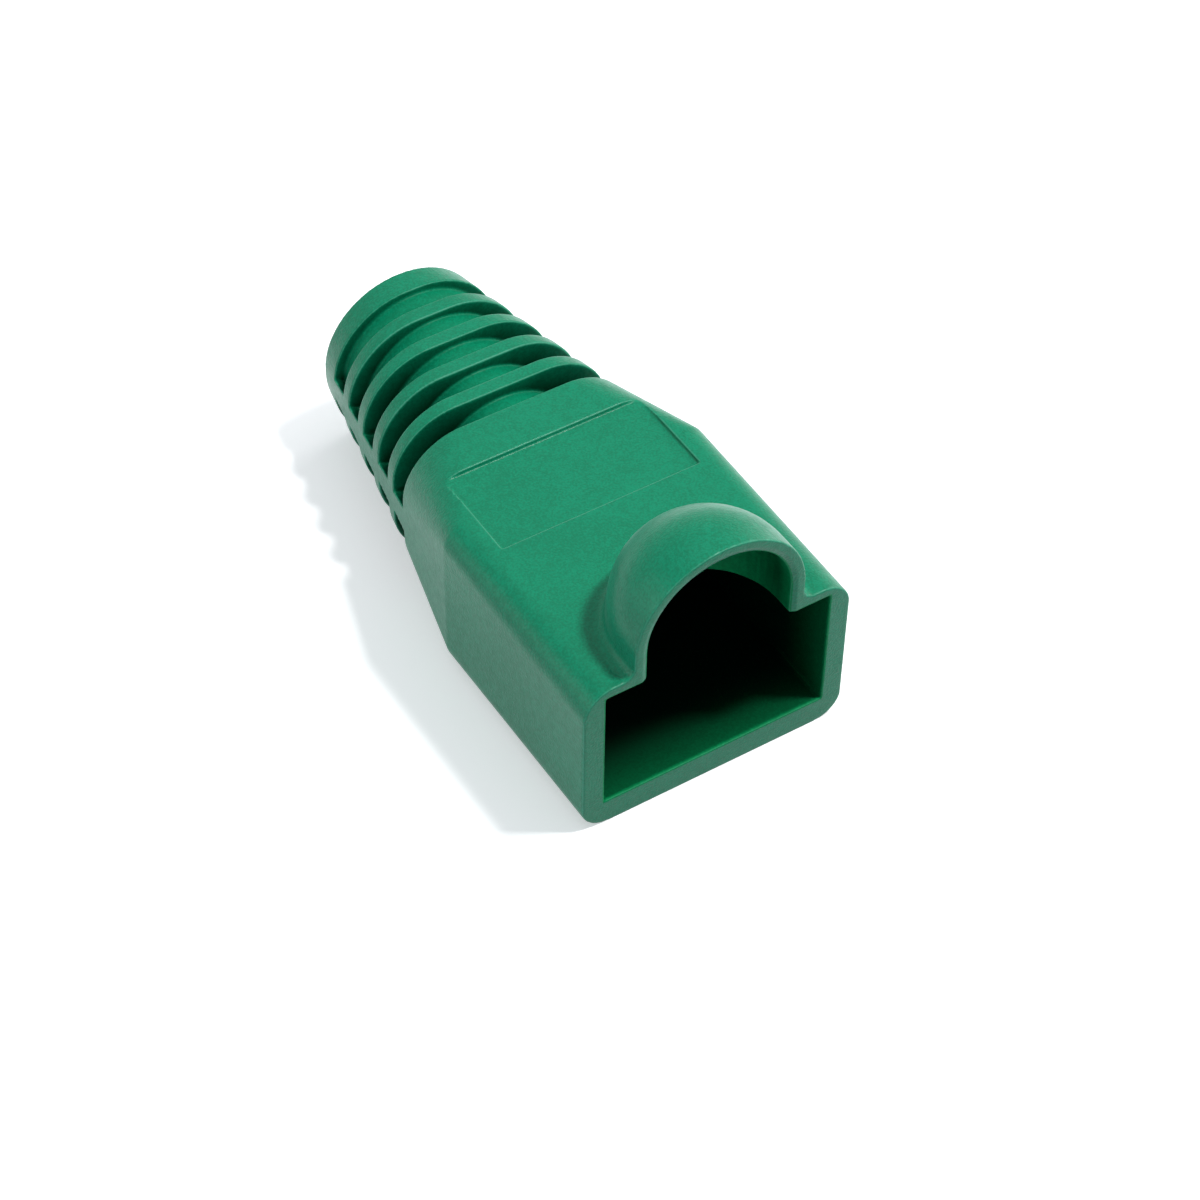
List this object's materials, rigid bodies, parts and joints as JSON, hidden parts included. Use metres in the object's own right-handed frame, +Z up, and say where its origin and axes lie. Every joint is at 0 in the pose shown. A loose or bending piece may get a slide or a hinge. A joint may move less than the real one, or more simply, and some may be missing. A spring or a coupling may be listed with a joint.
{
  "type": "strain relief boot",
  "caption": "Soft moulded boot for a modular plug: square sleeve, half-dome latch hood, slotted round tail for the cable, bare recessed label panel.",
  "frame": {"origin": "centre of the bounding box in plan, on the surface that the boot rests on", "axes": "+Y from the plug's mouth to the cable end along the cable, +Z up through the latch hood, +X to the right seen from the mouth"},
  "size_m": [0.0142, 0.0286, 0.0146],
  "materials": {
    "soft_pvc": "matt, fine moulded texture"
  },
  "bodies": {
    "root": {"boot": "soft_pvc"}
  },
  "joints": []
}
